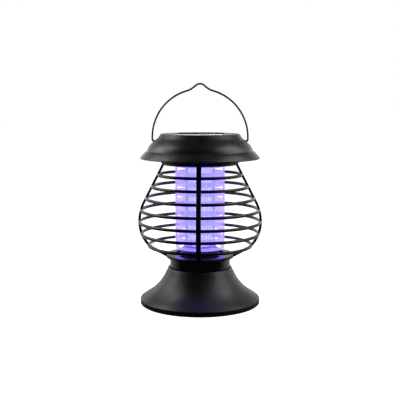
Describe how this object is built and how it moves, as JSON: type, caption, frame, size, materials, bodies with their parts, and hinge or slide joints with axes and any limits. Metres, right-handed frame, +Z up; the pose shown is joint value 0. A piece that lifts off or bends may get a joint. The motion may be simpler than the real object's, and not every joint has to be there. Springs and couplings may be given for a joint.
{
  "type": "electric bug zapper",
  "caption": "Solar lantern bug zapper: round roof cap with a wire handle, pear-shaped guard cage round a slotted violet light column, bell-shaped foot.",
  "frame": {"origin": "centre of the foot's rim on the table", "axes": "+Z up, -Y towards the viewer's side, X along the handle's pivots"},
  "size_m": [0.1358, 0.1358, 0.2406],
  "materials": {
    "cap_plastic": "satin, fine grain",
    "cage_plastic": "satin",
    "base_plastic": "satin, fine grain",
    "neck_gloss": "gloss",
    "handle_wire": "satin black paint",
    "window_clear": "clear",
    "solar_cell": "dark cells",
    "foam_pad": "foam",
    "inner_plastic": "matte",
    "knob_plastic": "matte",
    "battery_wrap": "plain wrap",
    "screw_steel": "zinc",
    "contact_steel": "nickel",
    "grid_steel": "bare wire",
    "board_green": "solder mask",
    "coil_core": "taped",
    "capacitor_shell": "dipped",
    "led_board_white": "white mask",
    "led_violet": "clear dome",
    "lamp_glow": "frosted, lit",
    "sleeve_clear": "clear, lit"
  },
  "bodies": {
    "base": {"base_shell": "base_plastic", "base_bottom": "base_plastic", "base_screws": "screw_steel"},
    "cage": {"cage_top_ring": "cage_plastic", "cage_rib_right": "cage_plastic", "cage_rib_back": "cage_plastic", "cage_rib_left": "cage_plastic", "cage_rib_front": "cage_plastic", "cage_ring_1": "cage_plastic", "cage_ring_2": "cage_plastic", "cage_ring_3": "cage_plastic", "cage_ring_4": "cage_plastic", "cage_ring_5": "cage_plastic", "cage_ring_6": "cage_plastic", "cage_ring_7": "cage_plastic", "cage_floor": "cage_plastic", "neck_collar": "neck_gloss"},
    "head": {"top_cap": "cap_plastic", "panel_pad": "foam_pad", "solar_cells": "solar_cell", "panel_cover": "window_clear", "head_base_plate": "cap_plastic", "head_screws": "screw_steel", "battery": "battery_wrap", "battery_holder": "inner_plastic", "battery_contacts": "contact_steel", "circuit_board": "board_green", "transformer": "coil_core", "capacitor": "capacitor_shell", "board_parts": "inner_plastic", "switch_body": "inner_plastic", "led_board": "led_board_white", "uv_leds": "led_violet", "lamp_tube": "lamp_glow", "grid_sleeve": "sleeve_clear", "grid_spacers": "inner_plastic", "grid_wire_live": "grid_steel", "grid_wire_return": "grid_steel"},
    "bail": {"bail_handle": "handle_wire"},
    "switch": {"switch_knob": "knob_plastic"}
  },
  "joints": [
    {"name": "base_release", "type": "slide", "parent": "base", "child": "cage", "axis": [0, 0, 1], "range_m": [0, 0.03]},
    {"name": "cap_twist", "type": "hinge", "parent": "cage", "child": "head", "pos_m": [0, 0, 0.157], "axis": [0, 0, 1], "range_deg": [0, 25]},
    {"name": "handle_swing", "type": "hinge", "parent": "head", "child": "bail", "pos_m": [0, 0, 0.1784], "axis": [1, 0, 0], "range_deg": [-90, 90]},
    {"name": "switch_slide", "type": "slide", "parent": "head", "child": "switch", "axis": [1, 0, 0], "range_m": [-0.002, 0.002]}
  ]
}
